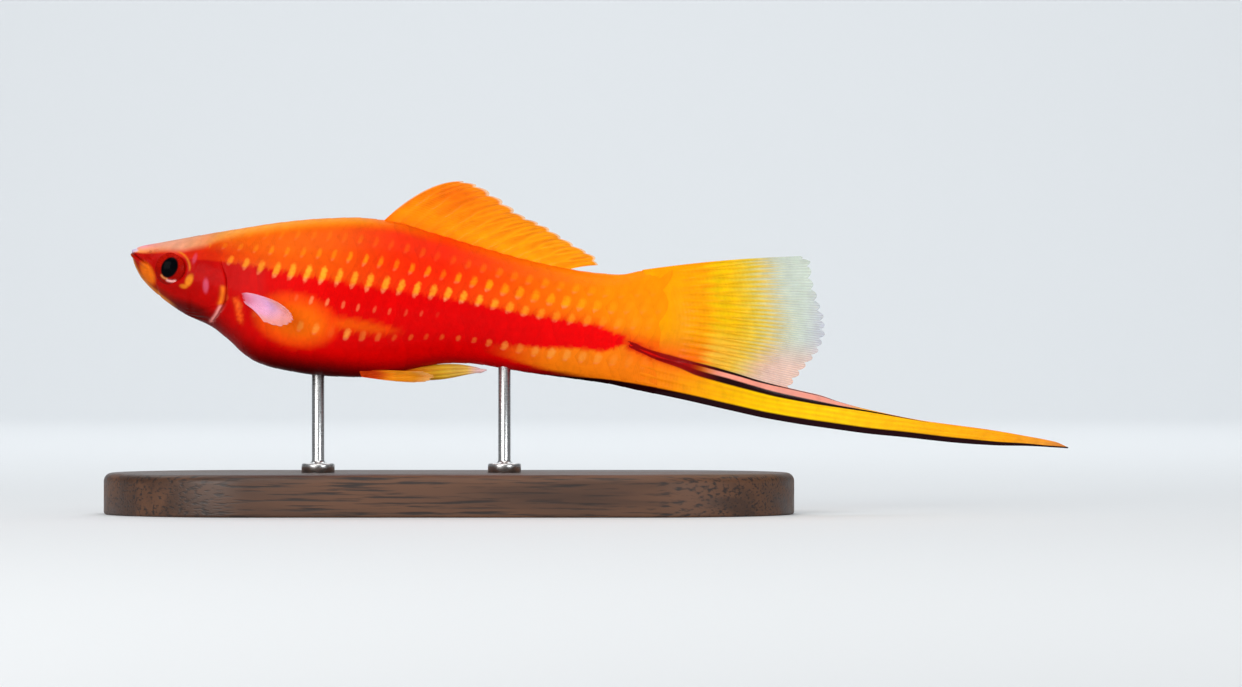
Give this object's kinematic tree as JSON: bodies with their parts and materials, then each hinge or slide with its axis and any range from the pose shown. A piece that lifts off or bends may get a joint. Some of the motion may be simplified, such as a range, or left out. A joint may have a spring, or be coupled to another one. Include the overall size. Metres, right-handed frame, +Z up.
{
  "type": "swordtail",
  "caption": "Life-size still model of a male swordtail fish with a long sword on its tail fin, held level over a flat display base by two short rods.",
  "frame": {"origin": "middle of the flat underside of the stand's base, on the surface that the model stands on", "axes": "+X runs from the fish's head towards the tip of its sword, +Y to the fish's right side, +Z up"},
  "size_m": [0.14, 0.044, 0.0482],
  "materials": {
    "head_skin": "satin",
    "body_skin": "satin",
    "gold_fin": "satin",
    "tail_fin": "satin",
    "sword": "satin",
    "pale_fin": "satin",
    "eye": "gloss",
    "stand_wood": "satin",
    "stand_steel": "satin"
  },
  "bodies": {
    "root": {"head": "head_skin", "lower_jaw": "head_skin", "gill_cover_left": "head_skin", "gill_cover_right": "head_skin", "eye_left": "eye", "eye_right": "eye", "trunk": "body_skin", "tail": "body_skin", "dorsal_fin": "gold_fin", "caudal_fin": "tail_fin", "sword": "sword", "pectoral_fin_left": "pale_fin", "pectoral_fin_right": "pale_fin", "pelvic_fin_left": "gold_fin", "pelvic_fin_right": "gold_fin", "gonopodium": "gold_fin", "stand_base": "stand_wood", "stand_rod_front": "stand_steel", "stand_rod_rear": "stand_steel"}
  },
  "joints": []
}
